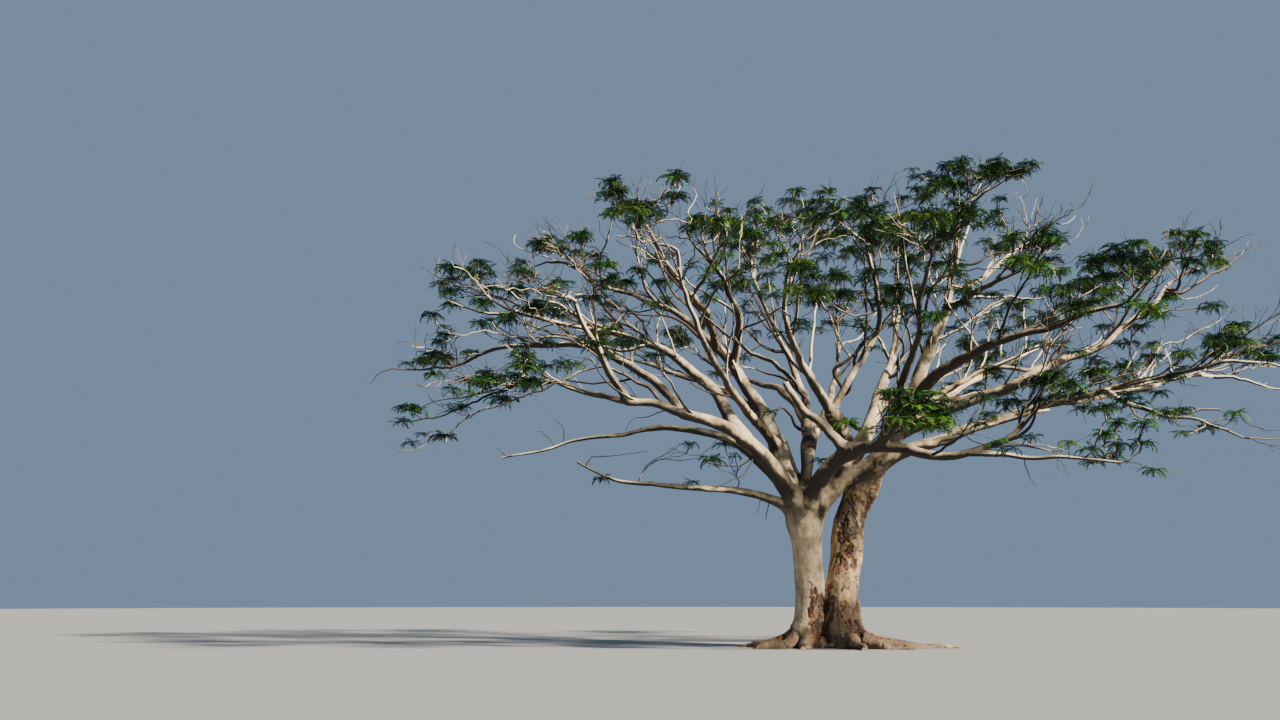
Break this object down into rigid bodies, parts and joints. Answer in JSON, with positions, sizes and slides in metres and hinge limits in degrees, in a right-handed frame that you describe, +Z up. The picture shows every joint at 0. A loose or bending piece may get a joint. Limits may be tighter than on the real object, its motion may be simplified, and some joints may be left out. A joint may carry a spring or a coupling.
{
  "type": "flame tree",
  "caption": "Broad flame tree with twin stems joined at the foot, low forks, long bent limbs and a wide, flat, open crown of feathery leaf sprays.",
  "frame": {"origin": "ground level under the axis of the right-hand, rough-barked stem, on the flat cut that ends both stems", "axes": "+Z up, +X along the crown's longest spread towards its right-hand tips as the picture sees it, +Y away from the picture's side"},
  "size_m": [20.1994, 14.0412, 10.0754],
  "materials": {
    "bark_smooth": "smooth pale grey-cream bark",
    "bark_rough": "rough peeling bark plates over an orange-brown under-bark",
    "foliage": "matte feathery leaves"
  },
  "bodies": {
    "root": {"stem_right": "bark_rough", "stem_left": "bark_smooth", "up_back": "bark_smooth", "left_high": "bark_smooth", "left_broad": "bark_smooth", "leader": "bark_smooth", "up_mid": "bark_smooth", "left_dead": "bark_smooth", "right_long": "bark_smooth", "low_front": "bark_smooth", "up_centre": "bark_smooth", "left_mid": "bark_smooth", "right_high": "bark_smooth", "right_mid": "bark_smooth", "left_low": "bark_smooth", "left_long": "bark_smooth", "left_fan": "bark_smooth", "left_top": "bark_smooth", "up_left": "bark_smooth", "up_fork": "bark_smooth", "right_bright": "bark_smooth", "right_back": "bark_smooth", "upper_right": "bark_smooth", "top_right": "bark_smooth", "back_left": "bark_smooth", "back_far": "bark_smooth", "back_mid": "bark_smooth", "back_right": "bark_smooth", "front_left": "bark_smooth", "front_right": "bark_smooth", "low_pale": "bark_smooth", "right_dead": "bark_smooth", "front_low": "bark_smooth", "up_back_foliage": "foliage", "left_high_foliage": "foliage", "left_broad_foliage": "foliage", "leader_foliage": "foliage", "up_mid_foliage": "foliage", "right_long_foliage": "foliage", "low_front_foliage": "foliage", "up_centre_foliage": "foliage", "left_mid_foliage": "foliage", "right_high_foliage": "foliage", "right_mid_foliage": "foliage", "left_long_foliage": "foliage", "left_fan_foliage": "foliage", "left_top_foliage": "foliage", "up_left_foliage": "foliage", "up_fork_foliage": "foliage", "right_bright_foliage": "foliage", "right_back_foliage": "foliage", "upper_right_foliage": "foliage", "top_right_foliage": "foliage", "back_left_foliage": "foliage", "back_far_foliage": "foliage", "back_mid_foliage": "foliage", "back_right_foliage": "foliage", "front_left_foliage": "foliage", "front_right_foliage": "foliage", "front_low_foliage": "foliage"}
  },
  "joints": []
}
